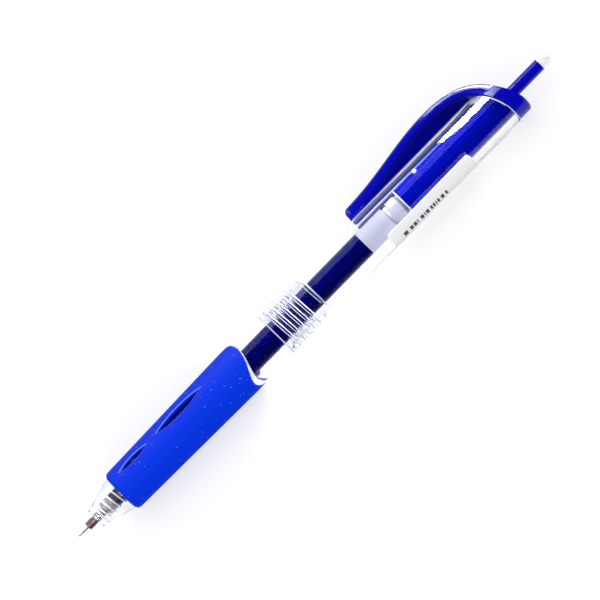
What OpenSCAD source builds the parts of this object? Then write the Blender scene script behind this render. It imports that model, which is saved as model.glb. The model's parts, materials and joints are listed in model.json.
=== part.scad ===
// Retractable gel pen, lying at rest: writing point towards -X, push button
// towards +X, clip on the +Y side touching the surface it lies on.
// Every part is drawn about the pen's own axis first: along = +X from the
// writing point, clip = +Z. pen_at_rest() then lays the pen down.
// All sizes are in millimetres.

/* [Writing point] */
// Diameter of the rolling ball
ball_d = 0.5; // [0.4:0.05:0.7]
// Length of the steel cone that shows ahead of its shank
cone_len = 3.0; // [2.5:0.1:3.6]
// Diameter of the steel shank that slides in the nose
shank_d = 2.0; // [1.8:0.05:2.1]
// How far the point stands out of the nose when the pen is ready to write
point_out = 5.4; // [4.9:0.1:5.8]

/* [Front section] */
// Length of the clear nose that shows ahead of the grip
nose_len = 8.3; // [7.5:0.1:9.5]
// Diameter of the ring at the front of the nose
nose_d = 5.1; // [4.9:0.1:5.4]
// Diameter of the clear tube under the grip
seat_d = 9.16; // [8.8:0.02:9.4]
// Diameter of the bore that the refill lies in
bore_d = 7.68; // [7.5:0.02:7.8]
// Length of the clear band between the grip and the joint of the sections
clear_band = 10.35; // [9:0.05:12]
// Length of the threaded spigot that holds the two sections together
spigot_len = 12.9; // [10:0.1:15]
// Diameter of that spigot
spigot_d = 9.5; // [9.2:0.1:9.8]

/* [Grip] */
// Diameter of the rubber grip at its front
grip_front_d = 10.74; // [10.4:0.02:11]
// Diameter of the rubber grip at its rear
grip_rear_d = 12.04; // [11.8:0.02:12.4]
// Mean length of the rubber grip
grip_len = 39.4; // [37:0.1:42]
// Radius of the saddle curve that ends the grip
wave_r = 6.83; // [6.5:0.01:8]
// Angle of the row of slots, from the clip towards the upper side
slot_turn = 75; // [0:1:180]
// Length of the front slot
front_slot_len = 8.3; // [7:0.1:9]
// Length of the rear slot
rear_slot_len = 14.1; // [12:0.1:15]
// Width of the rear slot
slot_w = 2.1; // [1.6:0.02:2.4]

/* [Rear section] */
// Outer diameter of the clear barrel
barrel_d = 11.5; // [11.2:0.05:11.7]
// Length of the clear rear barrel
rear_len = 73.05; // [70:0.05:77]

/* [Cap and clip] */
// Diameter of the cap that closes the barrel
cap_d = 11.2; // [11:0.05:11.4]
// Thickness of the cap along the pen
cap_len = 3.8; // [3.4:0.05:4.2]
// Distance from the front of the cap back to the top of the clip's arch
arch_len = 14.5; // [13.5:0.05:16]
// Height of the clip's arch above the pen's axis
arch_h = 11.27; // [10.6:0.01:12]
// Distance from the top of the arch to the clip's free end
blade_len = 28.5; // [25:0.1:31]
// Height of the clip's back above the axis at its free end
blade_h = 8.65; // [8.4:0.05:9]
// Width of the clip at the top of its arch
clip_w = 8.6; // [7.8:0.1:9.2]
// Width of the clip just behind its free end
tip_w = 6.0; // [5:0.1:6.6]
// Thickness of the clip's edge along the blade
clip_t = 2.7; // [2.4:0.05:2.9]
// Depth of the hollow under the clip
clip_hollow = 0.75; // [0.3:0.05:0.9]

/* [Click mechanism] */
// Travel that draws the point back into the nose
click_travel = 5.9; // [5.8:0.1:6.4]
// Extra travel past the latched place that frees the latch
over_travel = 1.3; // [0.9:0.1:1.4]
// Length of the blue guide sleeve
sleeve_len = 31.75; // [30:0.05:33]
// Wall of the guide sleeve
sleeve_wall = 0.62; // [0.5:0.02:0.65]
// Number of guide ribs, and of fins on the rotor
rib_count = 4; // [4]
// Diameter of the push button's rod
button_d = 3.0; // [2.8:0.05:3.2]
// Length of the rod that stands out of the cap
button_out = 7.9; // [6.6:0.1:9]

/* [Refill] */
// Outer diameter of the ink tube
tube_d = 6.1; // [5.9:0.02:6.16]
// Wall of the ink tube
tube_wall = 0.4; // [0.3:0.05:0.5]
// Distance from the writing point to the front of the ink tube
tube_start = 24.0; // [22:0.1:26]
// Distance from the rear of the ink tube to the front of the guide sleeve
tube_gap = 3.25; // [3:0.05:4]
// Length of the gap between the ink's rear surface and the tube's end
ink_gap = 9.4; // [7:0.1:20]
// Wire diameter of the return spring
wire_d = 0.42; // [0.35:0.01:0.5]
// Outer diameter of the return spring
spring_d = 4.7; // [4.5:0.05:4.8]
// Turns of the return spring
spring_turns = 10.5; // [9:0.5:11.5]

/* [Label] */
// Length of the plain paper label
label_len = 25.8; // [20:0.1:30]
// Distance from the top of the clip's arch forward to the label's front edge
label_ahead = 25.5; // [20:0.1:30]
// Angle that the label covers round the barrel
label_span = 78; // [50:1:90]
// Thickness of the label
label_t = 0.1; // [0.08:0.01:0.15]

/* [Hidden] */
$fn = 96;

// Clearances: a running fit, a seated face, a glued skin and a free gap
run = 0.05;
seat = 0.03;
skin = 0.02;
free = 0.3;
// Overshoot of a cutting body past the face that it cuts
over = 1;

// Places along the pen, measured from the writing point
nose_u = point_out;
grip_u = nose_u + nose_len;
wave_u = grip_u + grip_len;
joint_u = wave_u + clear_band;
spigot_end = joint_u + spigot_len;
cap_u = joint_u + rear_len;
cap_end = cap_u + cap_len;
arch_u = cap_u - arch_len;
tip_u = arch_u - blade_len;
sleeve_end = cap_u - free;
sleeve_u = sleeve_end - sleeve_len;
tube_end = sleeve_u - tube_gap;
button_end = cap_end + button_out;

// The refill's front
nose_wall = 1.35;
neck_d = shank_d + 0.1;
stub_d = 1.5;
holder_d = spring_d - 2 * wire_d - 4 * run;
holder_taper = 2;
shoulder_d = 4.2;
holder_u = nose_u + nose_wall + over_travel + 0.25;
ink_d = tube_d - 2 * tube_wall - 2 * skin;
ink_neck_d = 1.9;
stub_end = nose_u + 5.9;
ink_u = stub_end + 0.3;
ink_end = tube_end - ink_gap;
plug_len = 1.3;

// The nose: its ring, the spring chamber and the cone that opens to the bore
nose_ring = 1.4;
cone_d = nose_d + 0.45;
nose_bore_d = neck_d + 4 * run;
chamber_d = spring_d + 2 * run;
chamber_draft = 0.5;
chamber_end = tube_start - holder_taper - over_travel - 1.0;

// The click mechanism, from the cap inwards
sleeve_d = bore_d - 2 * run;
sleeve_bore = sleeve_d - 2 * sleeve_wall;
rib_in_d = 4.6;
core_d = rib_in_d - 4 * run;
fin_d = sleeve_bore - 4 * run;
fin_w = 1.1;
rib_w = 1.6;
tooth = 0.75;
tooth_turn = -35;
rib_u = sleeve_u + click_travel + 0.15;
fin_end = rib_u - 1.0;
fin_len = 4.6;
crown_u = fin_end + free;
head_len = 6.2;
pilot_d = 2.4;
collar_d = tube_d - 0.2;
collar_end = sleeve_u - 0.35;

plug_out = 2.7;
rest_r = grip_rear_d / 2;
pen_len = button_end + plug_out;

// ---------------------------------------------------------------- helpers

// Stands a body that was drawn along +Z along the pen instead
module along(u = 0) translate([u, 0, 0]) rotate([0, 90, 0]) children();

// A tube or rod between two places along the pen
module rod(u0, u1, d, d2 = undef) along(u0)
    cylinder(h = u1 - u0, d1 = d, d2 = is_undef(d2) ? d : d2);

// A body turned on the pen's axis from a list of [place, diameter]
module turned(outline) rotate([0, 90, 0]) rotate_extrude()
    polygon([for (p = outline) [p[1] / 2, p[0]]]);

// Repeats a body round the pen's axis
module around(count, first = 0) for (i = [0 : count - 1])
    rotate([first + i * 360 / count, 0, 0]) children();

// A point on a cubic curve through four points, and its direction there
function curve(p, t) = pow(1 - t, 3) * p[0] + 3 * pow(1 - t, 2) * t * p[1]
    + 3 * (1 - t) * t * t * p[2] + pow(t, 3) * p[3];
function slope(p, t) = pow(1 - t, 2) * (p[1] - p[0]) + 2 * (1 - t) * t * (p[2] - p[1])
    + t * t * (p[3] - p[2]);
function unit(v) = v / norm(v);
function mix(a, b, t) = a + (b - a) * t;
function ease(t) = t * t * (3 - 2 * t);
function crown_drop(w, share) = share * w * w / (2 * 12);

// Lays the finished pen on the surface with its clip on the +Y side
module pen_at_rest() translate([-pen_len / 2, -side_shift, rest_r])
    rotate([-90 - rest_roll, 0, 0]) children();

// ---------------------------------------------------------- clear sections

// The saddle shape at the grip's rear: all that lies ahead of a cylinder
// that crosses the pen, which leaves two crests and two troughs
module ahead_of_wave(grow) rotate([slot_turn, 0, 0]) {
    axis_u = wave_u + wave_rise / 2 - wave_r;
    translate([axis_u, 0, 0]) cylinder(h = 4 * wave_r, r = wave_r + grow, center = true);
    translate([axis_u - grip_len, -2 * wave_r, -2 * wave_r]) cube([grip_len, 4 * wave_r, 4 * wave_r]);
}
wave_rise = wave_r - sqrt(wave_r * wave_r - rest_r * rest_r);

module front_barrel() color("ghostwhite", 0.4) difference() {
    union() {
        turned([[nose_u, 0], [nose_u, nose_d - 0.5], [nose_u + 0.25, nose_d],
                [nose_u + nose_ring, nose_d], [nose_u + nose_ring + 0.25, cone_d], [grip_u - 0.1, seat_d],
                [joint_u, seat_d], [joint_u, spigot_d], [spigot_end - 0.4, spigot_d],
                [spigot_end, spigot_d - 0.8], [spigot_end, 0]]);
        difference() {
            turned([[wave_u - 6, 0], [wave_u - 6, barrel_d], [joint_u - 0.15, barrel_d],
                    [joint_u, barrel_d - 0.3], [joint_u, 0]]);
            ahead_of_wave(free);
        }
    }
    turned([[nose_u - over, 0], [nose_u - over, nose_bore_d], [nose_u + nose_wall, nose_bore_d],
            [nose_u + nose_wall, chamber_d], [chamber_end, chamber_d + chamber_draft],
            [chamber_end + holder_taper, bore_d], [spigot_end + over, bore_d], [spigot_end + over, 0]]);
}

module rear_barrel() color("ghostwhite", 0.4) difference() {
    turned([[joint_u, 0], [joint_u, barrel_d - 0.3], [joint_u + 0.15, barrel_d],
            [cap_u, barrel_d], [cap_u, 0]]);
    rod(joint_u - over, spigot_end + 0.2, spigot_d + 2 * run);
    rod(joint_u, cap_u + over, bore_d);
    behind_rim(cap_u - seat, [for (i = [0 : rim_steps]) barrel_rim(i)]);
}

// ------------------------------------------------------------------- grip

// The front slot's width, as a share of the rear one's
front_slot_share = 0.72;

// A leaf-shaped slot cut through the rubber, pointed at both ends
module leaf_slot(u, len, w) {
    bow = (len * len / 4 + w * w / 4) / w;
    translate([u + len / 2, 0, 0]) linear_extrude(height = rest_r + over) intersection() {
        translate([0, bow - w / 2]) circle(r = bow, $fn = 180);
        translate([0, w / 2 - bow]) circle(r = bow, $fn = 180);
    }
}

module grip() color([0.02, 0.18, 0.9]) difference() {
    intersection() {
        turned([[grip_u, 0], [grip_u, grip_front_d - 1.5], [grip_u + 0.15, grip_front_d - 0.8],
                [grip_u + 0.45, grip_front_d - 0.3], [grip_u + 1, grip_front_d],
                [wave_u - wave_rise, grip_rear_d - 0.08], [wave_u + wave_rise / 2 - 3.5, grip_rear_d],
                [wave_u + wave_rise / 2 + over, grip_rear_d - 0.2], [wave_u + wave_rise / 2 + over, 0]]);
        ahead_of_wave(0);
    }
    rod(grip_u - over, wave_u + 2 * wave_rise, seat_d + 2 * skin);
    around(2, slot_turn) {
        leaf_slot(grip_u + 3.3, front_slot_len, slot_w * front_slot_share);
        leaf_slot(grip_u + 15, rear_slot_len, slot_w);
    }
}

// --------------------------------------------------------- cap and clip

// The back of the clip from the side: an arch over the cap, then the blade
arch = [[cap_end, -cap_d * 0.4], [cap_end - 2.6, 6.9], [arch_u + 10.5, arch_h], [arch_u, arch_h]];
blade = [[arch_u, arch_h], [arch_u - 9.8, arch_h], [tip_u + 12, blade_h], [tip_u, blade_h]];
arch_steps = 22;
blade_steps = 30;
ring_points = 32;

// How far the clip has come from the cap (0) to the top of its arch (1)
function arch_share(i) = min(1, i / arch_steps);
function blade_share(i) = 1 - pow(1 - max(0, (i - arch_steps) / blade_steps), 1.5);
function back_at(i) = i < arch_steps ? curve(arch, arch_share(i)) : curve(blade, blade_share(i));
function heading_at(i) = unit(i < arch_steps ? slope(arch, arch_share(i)) : slope(blade, blade_share(i)));
function inward_at(i) = let (h = heading_at(i)) [h[1], -h[0]] * -1;
// The free end closes in a quarter circle, down to a narrow flat
tip_round = 1.2;
function closing(i) = let (short = max(0, 1 - (back_at(i)[0] - tip_u) / tip_round))
    sqrt(1 - 0.88 * short * short);
function edge_t(i) = i < arch_steps ? mix(cap_len * 0.97, clip_t, ease(arch_share(i)))
    : mix(clip_t, clip_t + 0.5, pow(blade_share(i), 3));
// The clip starts a little inside the cap that it grows out of
inset = 0.08;
function half_w(i) = let (v = back_at(i)[1] + inward_at(i)[1] * edge_t(i))
    v < 0 ? sqrt(pow(cap_d / 2 - inset, 2) - v * v)
    : i < arch_steps ? mix(cap_d - 2 * inset, clip_w, pow(v / (arch_h - clip_t), 0.8)) / 2
    : mix(clip_w, tip_w, ease(blade_share(i))) / 2;
function power(x, p) = sign(x) * pow(abs(x), p);

// The back's edges are rounder half-way up the arch than on the blade
function bulge(a) = a > 0 && a < 1 ? sin(180 * a) : 0;

// One ring of the clip: a crowned back, rounded edges and a hollow underside
function clip_ring(i) = let (
        o = back_at(i), n = inward_at(i), t = edge_t(i), c = closing(i),
        w = half_w(i) * mix(0.55, 1, c), a = arch_share(i))
    [for (k = [0 : ring_points - 1]) let (
        s = cos(360 * k / ring_points), h = sin(360 * k / ring_points),
        x = w * power(s, h > 0 ? mix(0.45, 0.85, bulge(a)) : 0.45), side = power(h, 0.5),
        deep = clip_hollow * ease(a) * c,
        hollow = side < 0 ? deep * max(0, 1 - pow(x / (0.78 * w), 4)) : 0,
        d = t / 2 - side * c * t / 2 - hollow + crown_drop(x, ease(a)))
        [o[0] + n[0] * d, x, o[1] + n[1] * d]];

module clip_arch_and_blade() {
    rings = arch_steps + blade_steps + 1;
    points = [for (i = [0 : rings - 1]) each clip_ring(i)];
    polyhedron(points = points, faces = concat(
        [[for (k = [0 : ring_points - 1]) ring_points - 1 - k]],
        [for (i = [0 : rings - 2], k = [0 : ring_points - 1]) let (
            a = i * ring_points + k, b = i * ring_points + (k + 1) % ring_points)
            each [[a, b, a + ring_points], [b, b + ring_points, a + ring_points]]],
        [[for (k = [0 : ring_points - 1]) (rings - 1) * ring_points + k]]), convexity = 6);
}

// At rest the pen lies on its grip and on one edge of the clip's arch. The
// roll that brings both down together is found by halving the interval
clip_points = [for (i = [0 : arch_steps + blade_steps]) each clip_ring(i)];
function clip_low(roll) = max([for (p = clip_points) p[1] * cos(roll) + p[2] * sin(roll)]);
function settle(low, high, left) = let (mid = (low + high) / 2) left == 0 ? mid
    : clip_low(mid) > rest_r ? settle(low, mid, left - 1) : settle(mid, high, left - 1);
rest_roll = settle(0, 30, 18);
side_reach = max([for (p = clip_points) p[2] * cos(rest_roll) - p[1] * sin(rest_roll)]);
side_shift = (side_reach - rest_r) / 2;

// The cap's front rim from the side, swept forward towards the clip
hood_len = 8;
rim_steps = 14;
function rim_at(i, gap) = back_at(i) + inward_at(i) * (edge_t(i) + gap);
function barrel_rim(i) = rim_at(i, seat + crown_drop(half_w(i), ease(arch_share(i))));
function hood_rim(i) = rim_at(i, -inset);
// A slab across the pen whose outline is given in the plane of the clip
module slab(outline) rotate([90, 0, 0])
    linear_extrude(height = 2 * barrel_d, center = true) polygon(outline);

// All that lies behind a rim line, which starts square across the pen
module behind_rim(u, rim) slab(concat([[u, -barrel_d], [u, rim[0][1]]],
    [for (p = rim) [min(u, p[0]), p[1]]],
    [rim[len(rim) - 1] + [0, barrel_d], [cap_end + cap_len, 2 * barrel_d], [cap_end + cap_len, -barrel_d]]));

// The cap stays under the rounded edges of the clip's back
corner_depth = 0.16;
function under_back(i) = back_at(i) + inward_at(i) * (inset + crown_drop(half_w(i), ease(arch_share(i)))
    + edge_t(i) * corner_depth * min(1, 2 * bulge(arch_share(i))));
module ahead_of_back() slab(concat([[cap_u - barrel_d, -barrel_d], [cap_end, -barrel_d],
        [cap_end, back_at(0)[1]]], [for (i = [1 : rim_steps]) under_back(i)],
    [[cap_u - barrel_d, under_back(rim_steps)[1]]]));

module cap_clip() color([0.02, 0.04, 0.75]) difference() {
    union() {
        intersection() {
            turned([[cap_u - hood_len, 0], [cap_u - hood_len, cap_d], [cap_end - 0.9, cap_d],
                    [cap_end - 0.45, cap_d - 0.25],
                    [cap_end - 0.13, cap_d - 0.85], [cap_end, cap_d - 1.8], [cap_end, 0]]);
            behind_rim(cap_u, [for (i = [3 : rim_steps]) hood_rim(i)]);
            ahead_of_back();
        }
        clip_arch_and_blade();
    }
    rod(cap_u - hood_len, cap_end + over, button_d + 2 * run + 2 * seat);
    rod(cap_u - hood_len, sleeve_end + seat, sleeve_d + 2 * seat);
}

// ------------------------------------------------------- click mechanism

// Cuts the end of a rib (side -1) or a fin (side 1) to the same slant, which
// turns the rotor a step each time that the two meet
module slant(u, side) translate([u, 0, 0]) rotate([0, 0, tooth_turn])
    translate([side < 0 ? -4 : 0, -4, 0]) cube([4, 8, sleeve_d]);

module guide_sleeve() color([0.02, 0.05, 0.7]) union() {
    difference() {
        turned([[sleeve_u, 0], [sleeve_u, sleeve_d - 0.4], [sleeve_u + 0.25, sleeve_d],
                [sleeve_end, sleeve_d], [sleeve_end, 0]]);
        rod(sleeve_u - over, sleeve_end + over, sleeve_bore);
    }
    around(rib_count, 180 / rib_count) difference() {
        intersection() {
            rod(rib_u, sleeve_end, sleeve_bore + sleeve_wall);
            translate([rib_u, -rib_w / 2, 0]) cube([sleeve_end - rib_u, rib_w, sleeve_d]);
        }
        rod(rib_u - over, sleeve_end + over, rib_in_d);
        slant(rib_u + tooth, -1);
    }
}

module latch_rotor() color("whitesmoke") union() {
    turned([[tube_end - plug_len, 0], [tube_end - plug_len, ink_d - 0.5],
            [tube_end - plug_len + 0.3, ink_d - 2 * run], [tube_end + run, ink_d - 2 * run],
            [tube_end + run, collar_d], [collar_end - 0.5, collar_d], [collar_end, collar_d - 1],
            [collar_end, core_d - 0.4], [fin_end - fin_len, core_d - 0.4],
            [fin_end - fin_len, core_d], [fin_end - 0.1, core_d], [fin_end, core_d - 0.2],
            [fin_end, pilot_d], [fin_end + 4, pilot_d], [fin_end + 4, 0]]);
    around(rib_count) difference() {
        intersection() {
            rod(fin_end - fin_len, fin_end, fin_d);
            translate([fin_end - fin_len, -fin_w / 2, core_d / 4]) cube([fin_len, fin_w, fin_d]);
        }
        slant(fin_end - 0.4, 1);
    }
}

module push_button() color([0.02, 0.08, 0.78]) difference() {
    union() {
        turned([[crown_u, 0], [crown_u, core_d], [crown_u + head_len - 0.4, core_d],
                [crown_u + head_len, core_d - 0.8], [crown_u + head_len, button_d],
                [button_end, button_d], [button_end, 0]]);
        around(rib_count) intersection() {
            rod(crown_u + 1.2, crown_u + head_len - 0.6, fin_d);
            translate([crown_u + 1.2, -fin_w / 2, core_d / 4]) cube([head_len - 1.8, fin_w, fin_d]);
        }
    }
    rod(crown_u - over, crown_u + 4.4, pilot_d + 4 * run);
    rod(button_end - 2.6, button_end + over, 1.7);
    around(2 * rib_count) translate([crown_u, 0, 0]) rotate([0, 0, 45])
        translate([-0.42, -0.42, 0]) cube([0.84, 0.84, core_d]);
}

module button_plug() color("white") turned([[button_end - 2.4, 0], [button_end - 2.4, 1.66],
    [button_end + seat, 1.66], [button_end + seat, button_d - 0.1], [pen_len - 0.9, button_d - 0.1],
    [pen_len - 0.42, button_d - 0.5], [pen_len - 0.12, button_d - 1.2],
    [pen_len, button_d - 2], [pen_len, 0]]);

// ----------------------------------------------------------------- refill

module writing_ball() color("silver") translate([ball_d / 2, 0, 0]) sphere(d = ball_d, $fn = 48);

module writing_point() color("rosybrown") difference() {
    turned([[ball_d * 0.35, 0], [ball_d * 0.35, ball_d + 0.1], [cone_len - 0.1, 1.26],
            [cone_len, shank_d - 0.16], [cone_len + 0.12, shank_d], [nose_u - seat, shank_d],
            [nose_u - seat, stub_d], [stub_end, stub_d], [stub_end, 0]]);
    turned([[0, 0], [0, ball_d], [ball_d * 0.4, ball_d], [ball_d * 0.44, ball_d + 0.04],
            [ball_d * 0.6, ball_d + 0.04], [ball_d * 0.95, ball_d * 0.8],
            [stub_end + over, ball_d * 0.8], [stub_end + over, 0]]);
}

module point_holder() color("gainsboro", 0.7) difference() {
    turned([[nose_u, 0], [nose_u, neck_d - 0.2], [nose_u + 0.1, neck_d], [holder_u, neck_d],
            [holder_u, holder_d - 0.6], [holder_u + 0.4, holder_d],
            [tube_start - holder_taper, holder_d], [tube_start - holder_taper, shoulder_d],
            [tube_start - holder_taper / 2, tube_d],
            [tube_start - seat, tube_d],
            [tube_start - seat, ink_d], [tube_start + 3, ink_d - 0.1], [tube_start + 3, 0]]);
    rod(nose_u - over, stub_end + seat, stub_d + 2 * skin);
    rod(stub_end, tube_start + 3 + over, ink_neck_d + 2 * skin);
}

module ink_tube() color("lavender", 0.5) difference() {
    rod(tube_start, tube_end, tube_d);
    rod(tube_start - over, tube_end + over, tube_d - 2 * tube_wall);
}

module ink() color([0, 0, 0.35]) turned([[ink_u, 0], [ink_u, ink_neck_d],
    [tube_start + 3 + seat, ink_neck_d], [tube_start + 3 + seat, ink_d], [ink_end, ink_d], [ink_end, 0]]);

module ink_follower() color("lightsteelblue", 0.6)
    rod(ink_end + skin, tube_end - plug_len - 0.15, ink_d);

// A round wire wound into a helix, with one flat closed turn at each end
spring_u = nose_u + nose_wall + wire_d / 2 + skin;
spring_end = tube_start - holder_taper - wire_d / 2 - free;
turn_steps = 14;
wire_sides = 6;
helix_r = (spring_d - wire_d) / 2;
pitch = (spring_end - spring_u - 2 * wire_d) / (spring_turns - 2);
function wound(turn) = turn < 1 ? wire_d * turn : turn > spring_turns - 1
    ? spring_end - spring_u - wire_d * (spring_turns - turn) : wire_d + pitch * (turn - 1);
function wire_point(turn, side) = let (r = helix_r + wire_d / 2 * cos(side))
    [spring_u + wound(turn) + wire_d / 2 * sin(side), -r * sin(360 * turn), r * cos(360 * turn)];

module return_spring() {
    rings = spring_turns * turn_steps;
    points = [for (i = [0 : rings], k = [0 : wire_sides - 1])
        wire_point(i / turn_steps, 360 * k / wire_sides)];
    color("silver") polyhedron(points = points, faces = concat(
        [[for (k = [0 : wire_sides - 1]) wire_sides - 1 - k]],
        [for (i = [0 : rings - 1], k = [0 : wire_sides - 1]) let (
            a = i * wire_sides + k, b = i * wire_sides + (k + 1) % wire_sides)
            each [[a, b, a + wire_sides], [b, b + wire_sides, a + wire_sides]]],
        [[for (k = [0 : wire_sides - 1]) rings * wire_sides + k]]), convexity = 10);
}

// ------------------------------------------------------------------ label

// A rectangle whose corners are rounded, centred on the origin
module round_rect(size, r) {
    square([size[0] - 2 * r, size[1]], center = true);
    square([size[0], size[1] - 2 * r], center = true);
    for (x = [-1, 1], y = [-1, 1]) translate([x * (size[0] / 2 - r), y * (size[1] / 2 - r)]) circle(r);
}

module label() color("white") difference() {
    label_d = barrel_d + 2 * skin + 2 * label_t;
    label_u = arch_u - label_ahead;
    intersection() {
        rod(label_u, label_u + label_len, label_d);
        translate([label_u + label_len / 2, 0, -label_d]) linear_extrude(height = label_d)
            round_rect([label_len, label_d * sin(label_span / 2)], 0.9);
    }
    rod(label_u - over, label_u + label_len + over, barrel_d + 2 * skin);
}

pen_at_rest() rear_barrel();
pen_at_rest() front_barrel();
pen_at_rest() grip();
pen_at_rest() cap_clip();
pen_at_rest() guide_sleeve();
pen_at_rest() label();
pen_at_rest() return_spring();
pen_at_rest() writing_ball();
pen_at_rest() writing_point();
pen_at_rest() point_holder();
pen_at_rest() ink_tube();
pen_at_rest() ink();
pen_at_rest() ink_follower();
pen_at_rest() latch_rotor();
pen_at_rest() push_button();
pen_at_rest() button_plug();
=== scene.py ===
# %% [markdown]
# # A retractable gel pen on a white table
# The pen comes in as a finished frame from the construction step: sixteen
# solids at their real size and place, in metres. This lesson gives each of
# them the look of the real thing: clear moulded plastic, soft rubber, glossy
# blue plastic, ink, steel and paper. A few pieces are modelled again where
# the eye wants a finer form than the physics does.

# %% Load the frame
import bpy
import json
import math
from mathutils import Vector, Matrix
from mathutils.bvhtree import BVHTree

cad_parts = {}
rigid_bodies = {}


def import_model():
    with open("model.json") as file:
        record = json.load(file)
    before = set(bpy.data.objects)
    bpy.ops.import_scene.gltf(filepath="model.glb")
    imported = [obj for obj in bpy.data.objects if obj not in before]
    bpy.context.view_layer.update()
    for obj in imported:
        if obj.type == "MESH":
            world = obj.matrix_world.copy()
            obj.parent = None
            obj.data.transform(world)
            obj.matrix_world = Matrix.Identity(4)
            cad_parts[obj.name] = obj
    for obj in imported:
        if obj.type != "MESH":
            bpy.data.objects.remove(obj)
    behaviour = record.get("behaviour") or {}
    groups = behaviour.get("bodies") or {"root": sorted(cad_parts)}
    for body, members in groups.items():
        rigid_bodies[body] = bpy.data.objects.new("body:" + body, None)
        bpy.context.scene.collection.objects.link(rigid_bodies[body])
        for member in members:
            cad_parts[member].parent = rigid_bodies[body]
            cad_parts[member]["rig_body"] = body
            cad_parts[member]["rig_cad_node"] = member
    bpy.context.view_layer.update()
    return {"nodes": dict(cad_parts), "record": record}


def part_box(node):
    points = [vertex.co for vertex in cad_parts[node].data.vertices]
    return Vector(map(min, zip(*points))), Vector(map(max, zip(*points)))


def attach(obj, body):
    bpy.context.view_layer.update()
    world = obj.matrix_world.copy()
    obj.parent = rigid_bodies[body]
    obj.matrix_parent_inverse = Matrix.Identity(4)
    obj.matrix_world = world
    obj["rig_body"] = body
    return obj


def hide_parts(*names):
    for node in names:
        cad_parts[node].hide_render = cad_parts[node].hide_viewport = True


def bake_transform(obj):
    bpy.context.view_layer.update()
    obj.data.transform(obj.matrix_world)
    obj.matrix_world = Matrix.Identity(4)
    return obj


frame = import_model()
nodes = frame["nodes"]

# %% [markdown]
# The pen lies along X, so every measurement along it is a distance from the
# writing point, and every round piece is centred on one line. The clip's
# direction is where the frame's clip mount lies from that line. All of it
# comes from the frame, so the scene follows if the frame changes.

# %% The pen's own axis
mm = 0.001
barrel_low, barrel_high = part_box("rear_barrel")
barrel_r = (barrel_high.y - barrel_low.y) / 2
tip_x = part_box("writing_ball")[0].x
axis_y = (barrel_low.y + barrel_high.y) / 2
axis_z = (barrel_low.z + barrel_high.z) / 2
clip_mount = [m for m in frame["record"]["mounts"] if m["name"] == "clip_gap"][0]
rest_roll = math.atan2(axis_z - clip_mount["pos_m"][2], clip_mount["pos_m"][1] - axis_y)


def along(u):
    """The row frame's x at u millimetres from the writing point."""
    return tip_x + u * mm


print("axis at y, z:", round(axis_y, 6), round(axis_z, 6), "rolled by", round(math.degrees(rest_roll), 2))

# %% [markdown]
# ## The camera
# The photograph looks straight down on the pen from far away, and the pen
# runs from the lower left to the upper right. The camera is built from three
# values: how far the clip is turned past its side view, which way the pen
# runs in the picture, and how many pixels a millimetre takes. The turn of 27
# degrees is an estimate, because a wider clip at a smaller turn would look
# the same. So are the pixels per millimetre, which come from the width of
# the refill's tube and the usual length of such pens. A long lens far away
# gives the photograph's flat look.

# %% Camera
FRAME_W, FRAME_H = 600, 600
pixels_per_mm = 4.45
clip_seen_at = math.radians(27)
lean = clip_seen_at - rest_roll
picture_along = Vector((0.69866, 0.71546))
camera_far = 1.1
centre_u, centre_side = 72.7, 1.53

clipward = Vector((0, math.cos(lean), math.sin(lean)))
towards_camera = Vector((0, -math.sin(lean), math.cos(lean)))
pen_dir = Vector((1, 0, 0))
aim_at = Vector((along(centre_u), axis_y, axis_z)) + clipward * centre_side * mm
right = pen_dir * picture_along.x - clipward * picture_along.y
up = pen_dir * picture_along.y + clipward * picture_along.x

bpy.ops.object.camera_add(location=aim_at + towards_camera * camera_far)
camera = bpy.context.object
camera.name = "photo_camera"
turn = Matrix((right, up, towards_camera)).transposed().to_4x4()
camera.matrix_world = Matrix.Translation(camera.location) @ turn
camera.data.sensor_fit = "AUTO"
camera.data.sensor_width = 36
camera.data.lens = 36 * camera_far / (FRAME_W / pixels_per_mm * mm)
camera.data.clip_start = 0.01
camera.data.clip_end = 20
bpy.context.scene.camera = camera
bpy.context.view_layer.update()
print("lens:", round(camera.data.lens, 1), "lean:", round(math.degrees(lean), 1))

# %% [markdown]
# ## Image points
# Where the photograph shows the pen's main features, in pixels from the top
# left. A ray from the camera through such a point finds the spot on the pen
# that it belongs to, so small details can be placed on a real surface. The
# last step measures how far each feature shows from its point.

# %% Image points
points = {
    "point_tip": (79, 536),
    "grip_front": (121, 492),
    "front_slot": (133, 459),
    "section_joint": (277, 336),
    "clip_free_end": (347, 217),
    "sleeve_front": (400, 203),
    "label_front": (393, 241),
    "label_rear": (471, 161),
    "gate_nub": (414, 171),
    "cap_front": (517, 116),
    "button_end": (548, 56),
    "bars_front": (404, 236),
    "bars_rear": (450, 190),
    "object_left": (80, 536),
    "object_right": (548, 58),
    "object_top": (546, 54),
    "object_bottom": (81, 537),
}


def ray_through(x, y):
    """The camera's place and the direction in which it sees an image point."""
    longer = max(FRAME_W, FRAME_H)
    lens = camera.data
    local = Vector((x - FRAME_W / 2 + lens.shift_x * longer,
                    FRAME_H / 2 - y + lens.shift_y * longer,
                    -longer * lens.lens / lens.sensor_width))
    return camera.matrix_world.translation, (camera.matrix_world.to_3x3() @ local).normalized()


def seen_at(place):
    """The image point at which the camera sees a place."""
    longer = max(FRAME_W, FRAME_H)
    lens = camera.data
    local = camera.matrix_world.inverted() @ Vector(place)
    scale = longer * lens.lens / lens.sensor_width / -local.z
    return (FRAME_W / 2 - lens.shift_x * longer + local.x * scale,
            FRAME_H / 2 + lens.shift_y * longer - local.y * scale)


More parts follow.
